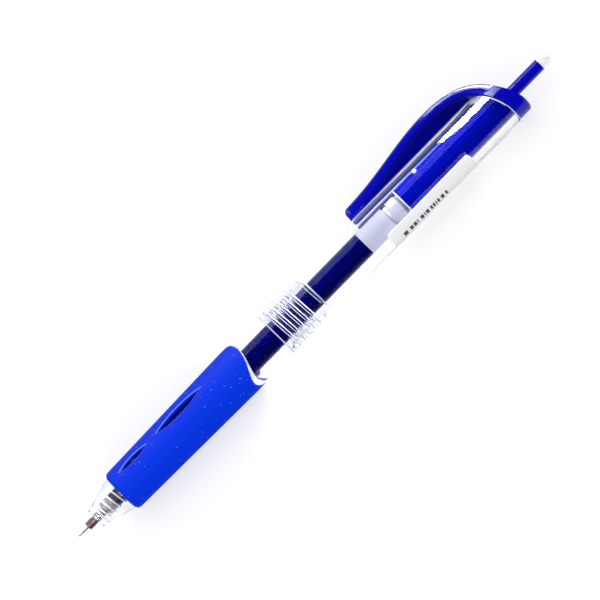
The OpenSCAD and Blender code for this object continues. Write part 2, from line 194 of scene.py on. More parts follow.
def surface_of(*carriers):
    """A search tree over the finished faces of one or more pieces."""
    corners, faces = [], []
    for carrier in carriers:
        first = len(corners)
        corners += [carrier.matrix_world @ v.co for v in carrier.data.vertices]
        faces += [[first + i for i in p.vertices] for p in carrier.data.polygons]
    return BVHTree.FromPolygons(corners, faces)


def place_at(point, tree):
    """The spot on a surface, and its normal, that shows at a named image point."""
    start, direction = ray_through(*points[point])
    spot, normal, _, _ = tree.ray_cast(start, direction)
    if spot is None:
        steps = [start + direction * camera_far * (0.95 + 0.1 * i / 200) for i in range(201)]
        spot, normal = min((tree.find_nearest(step)[:2] + (step,) for step in steps),
                           key=lambda near: (near[0] - near[2]).length)[:2]
    return spot, normal


print(len(points), "image points; the middle of the picture looks at",
      [round(v, 4) for v in aim_at])

# %% [markdown]
# ## The studio
# The photograph looks as if it was taken in a bright white tent, open only
# towards the camera. Faces that look straight up mirror a dark room, so the
# blues stay deep, and faces that turn to the side mirror something white.
# The world gives each kind of ray its own surround to match that: white to
# the camera, even and plain as a light, and dark overhead in reflections
# and in clear plastic. It is made for this view, and no real room does it.

# %% World
scene = bpy.context.scene
scene.view_settings.view_transform = "Standard"
world = bpy.data.worlds.new("white_tent")
scene.world = world
world.use_nodes = True
tree = world.node_tree
tree.nodes.clear()


def add_node(tree, kind, links=(), **settings):
    """A new node with settings, and its inputs joined to (input, output socket) pairs."""
    made = tree.nodes.new(kind)
    for name, value in settings.items():
        setattr(made, name, value)
    for socket, source in links:
        if hasattr(source, "links"):
            tree.links.new(source, made.inputs[socket])
        else:
            made.inputs[socket].default_value = source
    return made


ray = add_node(tree, "ShaderNodeLightPath")
place = add_node(tree, "ShaderNodeTexCoord")
way = add_node(tree, "ShaderNodeVectorMath", [
    (0, place.outputs["Generated"]), (1, (0, -0.35, 1))], operation="DOT_PRODUCT")
turned = add_node(tree, "ShaderNodeSeparateXYZ", [(0, place.outputs["Generated"])])


def tent(white_below, dark_above, sides, darkest, ends, tint):
    """A surround that darkens towards the opening overhead, and may be white at the pen's two ends."""
    opening = add_node(tree, "ShaderNodeMapRange", [
        ("Value", way.outputs["Value"]), ("From Min", white_below), ("From Max", dark_above),
        ("To Min", sides), ("To Max", darkest)])
    opening.interpolation_type = "SMOOTHSTEP"
    lengthwise = add_node(tree, "ShaderNodeMath", [(0, turned.outputs["X"])], operation="ABSOLUTE")
    end_light = add_node(tree, "ShaderNodeMapRange", [
        ("Value", lengthwise.outputs[0]), ("From Min", 0.3), ("From Max", 0.55), ("To Max", ends)])
    brightest = add_node(tree, "ShaderNodeMath", [
        (0, opening.outputs["Result"]), (1, end_light.outputs["Result"])], operation="MAXIMUM")
    return add_node(tree, "ShaderNodeBackground", [
        ("Color", (*tint, 1)), ("Strength", brightest.outputs[0])])


plain_colour, plain_strength = (0.985, 0.99, 1.0, 1), 0.98
light = add_node(tree, "ShaderNodeBackground", [("Color", plain_colour), ("Strength", plain_strength)])
in_gloss = tent(-0.1, 0.45, 1.0, 0.003, 0.0, (0.35, 0.7, 1.0))
in_glass = tent(0.1, 0.35, 0.12, 0.004, 1.0, (0.93, 0.95, 1.0))
white = add_node(tree, "ShaderNodeBackground", [("Color", (1, 1, 1, 1)), ("Strength", 1.0)])
scattered = add_node(tree, "ShaderNodeMath", [
    (0, ray.outputs["Diffuse Depth"]), (1, 0.5)], operation="LESS_THAN")
glossy = add_node(tree, "ShaderNodeMath", [
    (0, ray.outputs["Is Glossy Ray"]), (1, scattered.outputs[0])], operation="MULTIPLY")
through = add_node(tree, "ShaderNodeMath", [
    (0, ray.outputs["Is Transmission Ray"]), (1, scattered.outputs[0])], operation="MULTIPLY")
seen = light
for flag, room in ((glossy.outputs[0], in_gloss), (through.outputs[0], in_glass),
                   (ray.outputs["Is Camera Ray"], white)):
    seen = add_node(tree, "ShaderNodeMixShader", [(0, flag), (1, seen.outputs[0]), (2, room.outputs[0])])
add_node(tree, "ShaderNodeOutputWorld", [("Surface", seen.outputs[0])])
world.cycles.sampling_method = "NONE"
print("world:", world.name)

# %% [markdown]
# One soft lamp on the clip's side lifts that side a little, as in the
# photograph, where the blue is lightest towards the clip.

# %% Key light
key_size, key_watts = 0.6, 0.9
bpy.ops.object.light_add(type="AREA", location=(-0.15, 0.55, 0.6))
key = bpy.context.object
key.name = "key_light"
key.data.shape = "RECTANGLE"
key.data.size = key_size
key.data.size_y = key_size
key.data.energy = key_watts
key.rotation_euler = (Vector((0, 0, 0)) - key.location).to_track_quat("-Z", "Y").to_euler()
key.visible_glossy = False
print("key light:", key.data.energy, "W")

# %% [markdown]
# A pale table takes the pen's soft shadow. To the camera, and in glass and
# gloss, it is a little brighter than the light makes it, so that it runs out
# to the same white as the photograph's ground.

# %% Table
table_grey, table_lift = 0.46, 0.57
bpy.ops.mesh.primitive_plane_add(size=4, location=(0, 0, -0.00002))
table = bpy.context.object
table.name = "table_top"
paper = bpy.data.materials.new("white_table")
paper.use_nodes = True
tree = paper.node_tree
shader = tree.nodes["Principled BSDF"]
shader.inputs["Base Color"].default_value = (table_grey, table_grey, table_grey, 1)
shader.inputs["Roughness"].default_value = 0.9
shader.inputs["Specular IOR Level"].default_value = 0.0
ray = add_node(tree, "ShaderNodeLightPath")
direct = add_node(tree, "ShaderNodeMath", [
    (0, ray.outputs["Is Camera Ray"]), (1, ray.outputs["Is Glossy Ray"])], operation="MAXIMUM")
shown = add_node(tree, "ShaderNodeMath", [
    (0, direct.outputs[0]), (1, ray.outputs["Is Transmission Ray"])], operation="MAXIMUM")
lift = add_node(tree, "ShaderNodeMath", [(0, shown.outputs[0]), (1, table_lift)], operation="MULTIPLY")
glow = add_node(tree, "ShaderNodeEmission", [("Strength", lift.outputs[0])])
both = add_node(tree, "ShaderNodeAddShader", [(0, shader.outputs[0]), (1, glow.outputs[0])])
tree.links.new(both.outputs[0], tree.nodes["Material Output"].inputs["Surface"])
table.data.materials.append(paper)
print("table:", table.name)

# %% [markdown]
# The white streak on the barrel, the crescent on the clip's back, the bright
# side of the steel point and the gleam on the nose's ring are reflections of
# white things round the pen. Four glowing cards that only reflections see
# give them. They are placed for the photograph's view: a card's elevation
# decides how far from the middle of the barrel it shows, and its two ends
# where the streak starts and stops. A real tent would be less tidy.

# %% Light cards
card_far = 0.5


def glow_card(name, low_x, high_x, low_angle, high_angle, strength, cut_corner=0.0):
    """A card beside the pen that only reflections see, between two places and two elevations."""
    bpy.ops.object.select_all(action="DESELECT")
    bpy.ops.mesh.primitive_plane_add(size=1, location=(0, 0, 0))
    card = bpy.context.object
    card.name = name
    if cut_corner:
        bpy.context.tool_settings.mesh_select_mode = (True, False, False)
        for part in (card.data.vertices, card.data.edges, card.data.polygons):
            part.foreach_set("select", [False] * len(part))
        for corner in card.data.vertices:
            corner.select = corner.co.x < 0 and corner.co.y > 0
        bpy.ops.object.mode_set(mode="EDIT")
        bpy.ops.mesh.bevel(offset=cut_corner, affect="VERTICES")
        bpy.ops.object.mode_set(mode="OBJECT")
    middle = math.radians(low_angle + high_angle) / 2
    half = math.radians(high_angle - low_angle) / 2
    card.scale = (high_x - low_x, 2 * card_far * math.tan(half), 1)
    card.location = ((low_x + high_x) / 2, axis_y + card_far * math.cos(middle),
                     axis_z + card_far * math.sin(middle))
    card.rotation_euler = (math.pi / 2 + middle, 0, 0)
    card.visible_camera = False
    card.visible_diffuse = False
    card.visible_shadow = False
    card.visible_transmission = False
    shine = bpy.data.materials.new(name + "_light")
    shine.use_nodes = True
    tree = shine.node_tree
    tree.nodes.clear()
    glow = add_node(tree, "ShaderNodeEmission", [("Strength", strength)])
    add_node(tree, "ShaderNodeOutputMaterial", [("Surface", glow.outputs[0])])
    card.data.materials.append(shine)
    print(name, "from x =", round(low_x, 4), "to", round(high_x, 4))
    return card


glow_card("streak_card", 0.0660, 0.0885, 14, 53, 26.0, cut_corner=0.45)
glow_card("crescent_card", 0.125, 0.60, 2, 42, 60.0)
glow_card("point_card", -0.40, -0.0875, 8, 60, 3.0)
glow_card("collar_card", -0.1035, -0.0965, 70, 142, 60.0)

# %% [markdown]
# ## Finishes
# Every finish starts from a Principled shader, with its constants on the
# shader's own sockets. Its small irregularities come from noise in the
# object's own coordinates: a moulded skin is never equally glossy all over.

# %% Finish helper
relief_depth = 0.00005


def finish(name, colour, rough=0.4, metal=0.0, clear=0.0, ior=1.5, gloss=0.5,
           speck=0.0, bump=0.0, grain=2000.0):
    """A Principled finish whose gloss varies a little, with an optional fine relief."""
    made = bpy.data.materials.new(name)
    made.use_nodes = True
    tree = made.node_tree
    shader = tree.nodes["Principled BSDF"]
    shader.inputs["Base Color"].default_value = (*colour, 1)
    shader.inputs["Metallic"].default_value = metal
    shader.inputs["Transmission Weight"].default_value = clear
    shader.inputs["IOR"].default_value = ior
    shader.inputs["Specular IOR Level"].default_value = gloss
    place = add_node(tree, "ShaderNodeTexCoord")
    noise = add_node(tree, "ShaderNodeTexNoise", [
        ("Vector", place.outputs["Object"]), ("Scale", grain), ("Detail", 3.0)])
    ramp = add_node(tree, "ShaderNodeMapRange", [
        ("Value", noise.outputs["Fac"]), ("To Min", max(0.0, rough - speck)), ("To Max", rough + speck)])
    tree.links.new(ramp.outputs["Result"], shader.inputs["Roughness"])
    if bump:
        dents = add_node(tree, "ShaderNodeBump", [
            ("Strength", bump), ("Distance", relief_depth), ("Height", noise.outputs["Fac"])])
        tree.links.new(dents.outputs["Normal"], shader.inputs["Normal"])
    return made


def let_light_through(made):
    """Shadow rays pass a clear piece, so that it doesn't darken what lies in it."""
    tree = made.node_tree
    open_air = add_node(tree, "ShaderNodeBsdfTransparent", [("Color", (0.95, 0.955, 0.96, 1))])
    ray = add_node(tree, "ShaderNodeLightPath")
    mix = add_node(tree, "ShaderNodeMixShader", [
        (0, ray.outputs["Is Shadow Ray"]), (1, tree.nodes["Principled BSDF"].outputs[0]),
        (2, open_air.outputs[0])])
    tree.links.new(mix.outputs[0], tree.nodes["Material Output"].inputs["Surface"])
    return made


def painted_glow(made, colour, strength):
    """Gives a finish a painted glow, which stands in for light that passes through it."""
    shader = made.node_tree.nodes["Principled BSDF"]
    shader.inputs["Emission Color"].default_value = (*colour, 1)
    shader.inputs["Emission Strength"].default_value = strength


def paint(piece, made):
    """Gives a piece one finish in place of any that it has."""
    piece.data.materials.clear()
    piece.data.materials.append(made)


# %% [markdown]
# The two sections look like polystyrene, a touch cool, with a nearly perfect
# polish. The refill's tube is most likely polypropylene, which is milkier. The
# nose and the tube bend light less here than real plastic does, which keeps
# their outlines as faint as the photograph has them. The follower's grease
# lets light through from all sides, so most of its look is a painted glow
# that stands in for that light.

# %% Clear finishes
clear_plastic = let_light_through(finish(
    "clear_plastic", (0.985, 0.99, 1.0), rough=0.01, clear=1.0, ior=1.5, speck=0.004, grain=400))
tube_plastic = let_light_through(finish(
    "tube_plastic", (0.95, 0.955, 0.98), rough=0.06, clear=1.0, ior=1.2, speck=0.03))
holder_plastic = let_light_through(finish(
    "holder_plastic", (0.36, 0.37, 0.40), rough=0.25, clear=0.7, speck=0.05))
nose_plastic = let_light_through(finish(
    "nose_plastic", (0.985, 0.99, 1.0), rough=0.04, clear=1.0, ior=1.2, gloss=0.3, speck=0.02, grain=400))
# Painted light: the follower's grease is dim, with a painted glow for the light that passes through it.
follower_painted_glow = finish("follower_painted_glow", (0.12, 0.125, 0.15), rough=0.3, gloss=0.0)
painted_glow(follower_painted_glow, (0.40, 0.415, 0.52), 1.0)
print("clear finishes:", clear_plastic.name, tube_plastic.name)

# %% [markdown]
# The cap, clip and button are one glossy blue, and the rubber is matt. The
# sleeve lies behind the clear barrel, which does all the mirroring, so it
# has no gloss of its own. Faces that a mould leaves unpolished are frosted
# or satin, and the thread's satin flanks also carry a pale painted sheen.
# Inside the grip it is a darker blue of painted shade, with a painted glow
# for the light that soaks through.

# %% Solid finishes
grip_rubber = finish(
    "grip_rubber", (0.0003, 0.036, 0.78), rough=0.55, gloss=0.03, speck=0.08, bump=0.15, grain=5000)
# Painted shade: a darker blue for the faces under the clip, which never see the light.
underside = finish("underside", (0.0004, 0.0006, 0.30), rough=0.6, gloss=0.02, speck=0.05, grain=900)
blue_plastic = finish("blue_plastic", (0.0006, 0.0012, 0.45), rough=0.10, gloss=0.28, speck=0.03, grain=900)
sleeve_plastic = finish(
    "sleeve_plastic", (0.0004, 0.0022, 0.215), rough=0.3, gloss=0.0, speck=0.05, grain=900)
label_paper = finish("label_paper", (0.975, 0.98, 0.985), rough=0.5, gloss=0.2, speck=0.05, bump=0.05)
spring_wire = finish("spring_wire", (0.84, 0.85, 0.87), rough=0.3, metal=0.5, speck=0.05)
point_metal = finish("point_metal", (0.11, 0.07, 0.08), rough=0.25, metal=0.9, speck=0.06)
ball_metal = finish("ball_metal", (0.5, 0.5, 0.52), rough=0.08, metal=1.0)
ink_wet = finish("ink_wet", (0.0001, 0.0001, 0.055), rough=0.1, gloss=0.0)
# Painted shade and painted glow: the grip's inside is a darker blue, and glows for the light that soaks
# through.
grip_inside_painted_shade_glow = finish("grip_inside_painted_shade_glow", (0.0002, 0.002, 0.3), rough=0.6, gloss=0.0)
painted_glow(grip_inside_painted_shade_glow, (0.0, 0.004, 0.25), 0.8)
# A satin finish for unpolished faces; its pale lavender is also a painted sheen for the light that the thread's
# flanks throw aside.
satin_painted_sheen = let_light_through(finish("satin_flank_painted_sheen", (0.30, 0.31, 0.56), rough=0.5, clear=0.55, gloss=0.2))
# Painted shade: a dark, partly clear blue for the front section's skin under the grip.
seat_painted_shade = let_light_through(finish("seat_painted_shade", (0.001, 0.003, 0.30), rough=0.1, clear=0.6, gloss=0.0))
# Painted highlight: a lighter blue for the slots' rounded rims, where they catch the light.
grip_rim_painted_highlight = finish("grip_rim_painted_highlight", (0.16, 0.26, 0.95), rough=0.5, gloss=0.1)
frosted = finish("frosted_end", (0.86, 0.88, 0.93), rough=0.5, gloss=0.2)
rotor_plastic = finish("rotor_plastic", (0.34, 0.34, 0.43), rough=0.3, gloss=0.1)
white_plastic = finish("white_plastic", (0.9, 0.9, 0.93), rough=0.3, clear=0.6)

for name, made in (("rear_barrel", clear_plastic), ("front_barrel", clear_plastic), ("grip", grip_rubber),
                   ("cap_clip", blue_plastic), ("guide_sleeve", sleeve_plastic), ("label", label_paper),
                   ("return_spring", spring_wire), ("writing_ball", ball_metal), ("writing_point", point_metal),
                   ("point_holder", holder_plastic), ("ink_tube", tube_plastic), ("ink", ink_wet),
                   ("ink_follower", follower_painted_glow), ("latch_rotor", rotor_plastic),
                   ("push_button", blue_plastic), ("button_plug", white_plastic)):
    paint(nodes[name], made)
print("finishes on", len(nodes), "solids")

# %% [markdown]
# Some finishes change from place to place. Rubber gathers a little pale dust,
# found here as the few Voronoi points that lie close to the surface. The
# sleeve's front edge is painted pale. The spring is painted dark where the
# grip shades it, which is painted shade, and the holder is dim where the ink
# darkens it. The point's cone is painted paler than its shank, which is a
# painted highlight. These tones were matched to the photograph. The label
# carries a plain pattern of bars that says nothing: strips of a noise, cut
# off at a threshold, between two places along the pen and two angles round it.

# %% Local marks
def mark(made, mask, colour):
    """Puts another colour into a finish where a mask is one."""
    tree = made.node_tree
    shader = tree.nodes["Principled BSDF"]
    under = tuple(shader.inputs["Base Color"].default_value)
    mix = add_node(tree, "ShaderNodeMix", data_type="RGBA")
    tree.links.new(mask, mix.inputs[0])
    mix.inputs[6].default_value = under
    mix.inputs[7].default_value = (*colour, 1)
    tree.links.new(mix.outputs[2], shader.inputs["Base Color"])


def between(tree, value, low, high):
    """One where a value lies between two limits, and nought elsewhere."""
    above = add_node(tree, "ShaderNodeMath", [(0, value), (1, low)], operation="GREATER_THAN")
    below = add_node(tree, "ShaderNodeMath", [(0, value), (1, high)], operation="LESS_THAN")
    return add_node(tree, "ShaderNodeMath", [
        (0, above.outputs[0]), (1, below.outputs[0])], operation="MULTIPLY").outputs[0]


def own_place(made):
    """A finish's node tree, and the place of each spot in the piece's own coordinates."""
    tree = made.node_tree
    return tree, add_node(tree, "ShaderNodeTexCoord").outputs["Object"]


dust_grain, dust_size, dust_share, dust_strength = 1100.0, 0.13, 0.28, 0.45
tree, place = own_place(grip_rubber)
grains = add_node(tree, "ShaderNodeTexVoronoi", [("Vector", place), ("Scale", dust_grain)])
near = add_node(tree, "ShaderNodeMath", [
    (0, grains.outputs["Distance"]), (1, dust_size)], operation="LESS_THAN")
shade = add_node(tree, "ShaderNodeSeparateXYZ", [(0, grains.outputs["Color"])])
few = add_node(tree, "ShaderNodeMath", [
    (0, shade.outputs["X"]), (1, 1 - dust_share)], operation="GREATER_THAN")
dust = add_node(tree, "ShaderNodeMath", [(0, near.outputs[0]), (1, few.outputs[0])], operation="MULTIPLY")
faint = add_node(tree, "ShaderNodeMath", [(0, dust.outputs[0]), (1, dust_strength)], operation="MULTIPLY")
mark(grip_rubber, faint.outputs[0], (0.35, 0.5, 0.95))

sleeve_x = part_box("guide_sleeve")[0].x
grip_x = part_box("grip")[0].x
for made, low_x, high_x, colour in (
        (sleeve_plastic, sleeve_x - mm, sleeve_x + 0.3 * mm, (0.55, 0.62, 0.85)),
        # Painted shade: the spring is darker where the grip shades it.
        (spring_wire, grip_x + 3 * mm, grip_x + 20 * mm, (0.05, 0.05, 0.09)),
        # Painted highlight: the point's cone is painted pale.
        (point_metal, along(-1), along(3.0), (0.97, 0.95, 0.94)),
        (holder_plastic, along(10.9), along(30), (0.01, 0.01, 0.09))):
    tree, place = own_place(made)
    where = add_node(tree, "ShaderNodeSeparateXYZ", [(0, place)])
    mark(made, between(tree, where.outputs["X"], low_x, high_x), colour)

bar_step, bar_share, bars_up, bars_down = 0.28 * mm, 0.48, 0.15, 0.13
bars_from, _ = place_at("bars_front", surface_of(nodes["label"]))
bars_to, _ = place_at("bars_rear", surface_of(nodes["label"]))
bars_angle = math.atan2(bars_from.z - axis_z, bars_from.y - axis_y)
tree, place = own_place(label_paper)
where = add_node(tree, "ShaderNodeSeparateXYZ", [(0, place)])
up_y = add_node(tree, "ShaderNodeMath", [(0, where.outputs["Y"]), (1, axis_y)], operation="SUBTRACT")
up_z = add_node(tree, "ShaderNodeMath", [(0, where.outputs["Z"]), (1, axis_z)], operation="SUBTRACT")
round_it = add_node(tree, "ShaderNodeMath", [
    (0, up_z.outputs[0]), (1, up_y.outputs[0])], operation="ARCTAN2")
strip = add_node(tree, "ShaderNodeMath", [(0, where.outputs["X"]), (1, bar_step)], operation="SNAP")
chance = add_node(tree, "ShaderNodeTexWhiteNoise", [("W", strip.outputs[0])], noise_dimensions="1D")
dark = add_node(tree, "ShaderNodeMath", [
    (0, chance.outputs["Value"]), (1, 1 - bar_share)], operation="GREATER_THAN")
bar_length = between(tree, where.outputs["X"], bars_from.x, bars_to.x)
bar_height = between(tree, round_it.outputs[0], bars_angle - bars_up, bars_angle + bars_down)
inside = add_node(tree, "ShaderNodeMath", [(0, bar_length), (1, bar_height)], operation="MULTIPLY")
bars = add_node(tree, "ShaderNodeMath", [(0, inside.outputs[0]), (1, dark.outputs[0])], operation="MULTIPLY")
mark(label_paper, bars.outputs[0], (0.06, 0.06, 0.07))
print("bars from x =", round(bars_from.x, 4), "to", round(bars_to.x, 4),
      "at", round(math.degrees(bars_angle)), "degrees round the pen")

# %% [markdown]
# ## Pieces modelled again
# A solid from the frame is loose triangles. A copy of it is merged into one
# skin first, and can then be smoothed, cut or bevelled like any other mesh.

# %% Copy helper
merge_within = 0.001 * mm


def only(piece):
    """Selects one piece and makes it the active one."""
    bpy.ops.object.select_all(action="DESELECT")
    piece.select_set(True)
    bpy.context.view_layer.objects.active = piece


def merged_copy(node, name):
    """A copy of a frame solid as one merged skin, with its own mesh."""
    only(nodes[node])
    bpy.ops.object.duplicate()
    copy = bpy.context.object
    bpy.ops.object.parent_clear(type="CLEAR_KEEP_TRANSFORM")
    copy.name = name
    copy.data.name = name
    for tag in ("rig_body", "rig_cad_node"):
        del copy[tag]
    bpy.ops.mesh.customdata_custom_splitnormals_clear()
    bpy.ops.object.mode_set(mode="EDIT")
    bpy.ops.mesh.select_all(action="SELECT")
    bpy.ops.mesh.remove_doubles(threshold=merge_within)
    bpy.ops.object.mode_set(mode="OBJECT")
    return copy


def apply_all(piece):
    """Applies every modifier of a piece in order."""
    only(piece)
    for modifier in list(piece.modifiers):
        bpy.ops.object.modifier_apply(modifier=modifier.name)


def smooth(piece, angle=35):
    """Shades a piece smooth but for edges sharper than an angle, and evens its shading by face size."""
    only(piece)
    bpy.ops.object.shade_smooth_by_angle(angle=math.radians(angle))
    even = piece.modifiers.new("even", "WEIGHTED_NORMAL")
    even.keep_sharp = True
    apply_all(piece)


def stand_for(piece, node, body):
    """The piece takes a solid's place and rides on its body."""
    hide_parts(node)
    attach(piece, body)
    print(piece.name, "stands for", node, "with", len(piece.data.polygons), "faces")


# %% [markdown]
# The cap and its clip are one moulding, whose arch sweeps over the barrel in
# one curve. The solid has it in flat facets, so this copy is shaded smooth.
# The faces under the clip never see the light, so they get a darker blue of
# painted shade and a duller finish.

# %% Cap and clip
clip = merged_copy("cap_clip", "clip_moulding")
smooth(clip, 40)
paint(clip, blue_plastic)
clip.data.materials.append(underside)
clip_way = Vector((0, math.cos(rest_roll), -math.sin(rest_roll)))
pen_axis = Vector((0, axis_y, axis_z))
# Faces under the clip, looking away from its side, get the darker blue of painted shade.
for face in clip.data.polygons:
    if face.normal.dot(clip_way) < -0.25 and (face.center - pen_axis).dot(clip_way) > barrel_r:
        face.material_index = 1
stand_for(clip, "cap_clip", "rear")

# %% [markdown]
# Ink and follower wet the inside of their tube. With even a hair of air
# between them the tube's wall would mirror like silver, so each gets a copy
# that swells by a few hundredths of a millimetre, into the wall.

# %% Ink and follower
ink_swell = 0.045 * mm
for node, name, made, slot in (("ink", "wet_ink", ink_wet, "ink"),
                               ("ink_follower", "wet_follower", follower_painted_glow, "follower")):
    fill = merged_copy(node, name)
    swell = fill.modifiers.new("swell", "DISPLACE")
    swell.mid_level = 0
    swell.strength = ink_swell
    apply_all(fill)
    smooth(fill, 35)
    paint(fill, made)
    stand_for(fill, node, "refill")

# %% [markdown]
# Springs and threads are both a small section carried round and along the
# pen at once. The Screw modifier does that, so one helper serves both.

# %% Sweep helper
def swept(x, pitch_length, turns, start_angle, steps, profile):
    """Sweeps a profile, made at a place on the axis by the caller, round and along the pen."""
    made = profile()
    sweep = made.modifiers.new("sweep", "SCREW")
    sweep.axis = "X"
    sweep.angle = 2 * math.pi * turns
    sweep.screw_offset = pitch_length
    sweep.steps = round(steps * turns)
    sweep.render_steps = round(steps * turns)
    sweep.use_merge_vertices = False
    apply_all(made)
    made.rotation_euler.x = start_angle
    made.location = (x, axis_y, axis_z)
    bpy.ops.object.transform_apply(location=True, rotation=True)
    return made


def close_sweep():
    """Closes the two ends of the active sweep and turns its faces outwards."""
    bpy.ops.object.mode_set(mode="EDIT")
    bpy.ops.mesh.select_all(action="SELECT")
    bpy.ops.mesh.remove_doubles(threshold=0.00002)
    bpy.ops.mesh.fill_holes(sides=0)
    bpy.ops.mesh.normals_make_consistent(inside=False)
    bpy.ops.object.mode_set(mode="OBJECT")


# %% [markdown]
# The return spring is a round wire wound on a mandrel. A small circle, swept
# round and along, makes the open coils, and two sweeps that advance by only
# one wire make the closed turns at the ends.

# %% Return spring
wire = 0.42 * mm
spring_low, spring_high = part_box("return_spring")
coil_r = (spring_high.y - spring_low.y) / 2 - wire / 2
open_turns, coil_steps = 8.5, 28


def wire_section():
    """A ring of wire section, lying in the plane of the axis, at the coil's radius."""
    bpy.ops.object.select_all(action="DESELECT")
    bpy.ops.mesh.primitive_circle_add(vertices=12, radius=wire / 2, location=(0, 0, 0))
    ring = bpy.context.object
    bpy.ops.object.mode_set(mode="EDIT")
    bpy.ops.mesh.select_all(action="SELECT")
    bpy.ops.transform.translate(value=(0, coil_r, 0))
    bpy.ops.object.mode_set(mode="OBJECT")
    return ring


first_x = spring_low.x + wire / 2
last_x = spring_high.x - wire / 2
open_length = last_x - first_x - 2 * wire
coils = [
    swept(first_x, wire, 1, -rest_roll, coil_steps, wire_section),
    swept(first_x + wire, open_length, open_turns, -rest_roll, coil_steps, wire_section),
    swept(last_x - wire, wire, 1, -rest_roll + 2 * math.pi * open_turns, coil_steps, wire_section),
]
bpy.ops.object.select_all(action="DESELECT")
for part in coils:
    part.select_set(True)
bpy.context.view_layer.objects.active = coils[0]
bpy.ops.object.join()
spring = bpy.context.object
spring.name = "spring_coil"
spring.data.name = "spring_coil"
close_sweep()
smooth(spring, 50)
paint(spring, spring_wire)
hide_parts("return_spring")
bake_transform(spring)
print("spring of", open_turns + 2, "turns,", round((spring_high.x - spring_low.x) / mm, 2), "mm long")

# %% [markdown]
# ## The clear sections
# Where the two sections screw together, the thread shows through the barrel
# as slanted bright lines, because its flanks throw the light aside. A slim
# wedge, swept by the Screw modifier, cuts a helical groove by a Boolean:
# outwards in the rear section's socket, inwards in the front one's spigot.

# %% Thread helper
thread_pitch = 1.69
socket_r, spigot_from_r, ring_r = 4.8, 4.4, 3.9
groove_wide, groove_narrow, thread_steps = 1.15, 0.4, 40


def groove_cutter(from_u, turns, wide_r, narrow_r, start_angle):
    """The swept wedge that cuts a thread, as wide as its groove at one radius and slim at the other."""
    def wedge_section():
        bpy.ops.object.select_all(action="DESELECT")
        bpy.ops.mesh.primitive_plane_add(size=1, location=(0, 0, 0))
        wedge = bpy.context.object
        bpy.ops.transform.resize(value=(groove_wide * mm, abs(wide_r - narrow_r) * mm, 1))
        bpy.ops.object.transform_apply(location=False, rotation=False, scale=True)
        bpy.ops.object.mode_set(mode="EDIT")
        bpy.ops.mesh.select_all(action="SELECT")
        bpy.ops.transform.translate(value=(0, (wide_r + narrow_r) / 2 * mm, 0))
        bpy.ops.mesh.select_all(action="DESELECT")
        bpy.ops.object.mode_set(mode="OBJECT")
        for corner in wedge.data.vertices:
            corner.select = abs(corner.co.y - narrow_r * mm) < 0.01 * mm
        bpy.ops.object.mode_set(mode="EDIT")
        bpy.ops.transform.resize(value=(groove_narrow / groove_wide, 1, 1))
        bpy.ops.object.mode_set(mode="OBJECT")
        return wedge

    cutter = swept(along(from_u), thread_pitch * turns * mm, turns, start_angle, thread_steps, wedge_section)
    close_sweep()
    return cutter


def cut_away(piece, cutter):
    """Takes a cutter out of a piece, and takes the cutter away."""
    cut = piece.modifiers.new("cut", "BOOLEAN")
    cut.operation = "DIFFERENCE"
    cut.solver = "EXACT"
    cut.object = cutter
    apply_all(piece)
    bpy.data.objects.remove(cutter)


# %% [markdown]
# A moulded end face is not polished, so the ends of the clear sections show
# as pale lines. Faces that look along the pen can be told by their normals
# and given a frosted or satin finish, and edges by the two faces they join.

# %% Edge and end helpers
def radius_of(place):
    """How far a place is from the pen's axis."""
    return math.hypot(place.y - axis_y, place.z - axis_z)


def bevel_where(piece, width, segments, chosen, clamp=True):
    """Bevels the edges for which chosen(middle, normal of one side, normal of the other) is true."""
    only(piece)
    bpy.context.tool_settings.mesh_select_mode = (False, True, False)
    bpy.ops.object.mode_set(mode="EDIT")
    bpy.ops.mesh.select_all(action="SELECT")
    bpy.ops.mesh.dissolve_limited(angle_limit=math.radians(0.5))
    bpy.ops.mesh.select_all(action="DESELECT")
    bpy.ops.object.mode_set(mode="OBJECT")
    mesh = piece.data
    sides = {}
    for face in mesh.polygons:
        for key in face.edge_keys:
            sides.setdefault(key, []).append(face.normal)
    count = 0
    for edge in mesh.edges:
        pair = sides.get(edge.key, ())
        middle = (mesh.vertices[edge.vertices[0]].co + mesh.vertices[edge.vertices[1]].co) / 2
        edge.select = len(pair) == 2 and chosen(middle, pair[0], pair[1])
        count += edge.select
    bpy.ops.object.mode_set(mode="EDIT")
    bpy.ops.mesh.bevel(offset=width, segments=segments, affect="EDGES", clamp_overlap=clamp)
    bpy.ops.object.mode_set(mode="OBJECT")
    print(piece.name, "has", count, "bevelled edges")


def faces_along(normal):
    """Whether a face looks along the pen rather than out of its side."""
    return abs(normal.x) > 0.35


def refinish(piece, made, chosen):
    """Gives the faces for which chosen(centre, normal) is true another finish."""
    piece.data.materials.append(made)
    index = len(piece.data.materials) - 1
    faces = [face for face in piece.data.polygons if chosen(face.center, face.normal)]
    for face in faces:
        face.material_index = index
    print(piece.name, "has", len(faces), "faces of", made.name)


def outward_at(place):
    """The way from the pen's axis out to a place."""
    return Vector((0, place.y - axis_y, place.z - axis_z)).normalized()


# %% [markdown]
# The front section carries the spigot's thread, which is shallow. Under the
# grip its skin is painted a dark blue, which is painted shade and painted
# blue light from the rubber round it.

# %% Front section
thread_u = (64.0, 75.8)
seat_from_r = 4.3
grip_low, grip_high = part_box("grip")


def in_thread(place):
    """Whether a place is within the length of the thread."""
    return along(thread_u[0]) < place.x < along(thread_u[1])


threaded = merged_copy("front_barrel", "threaded_section")
cut_away(threaded, groove_cutter(64.6, 4.6, 4.95, 4.5, -rest_roll + math.pi))
smooth(threaded, 30)
paint(threaded, clear_plastic)
refinish(threaded, satin_painted_sheen, lambda centre, normal: faces_along(normal)
         and radius_of(centre) > spigot_from_r * mm
         and grip_low.x + 20 * mm < centre.x < along(thread_u[0]))
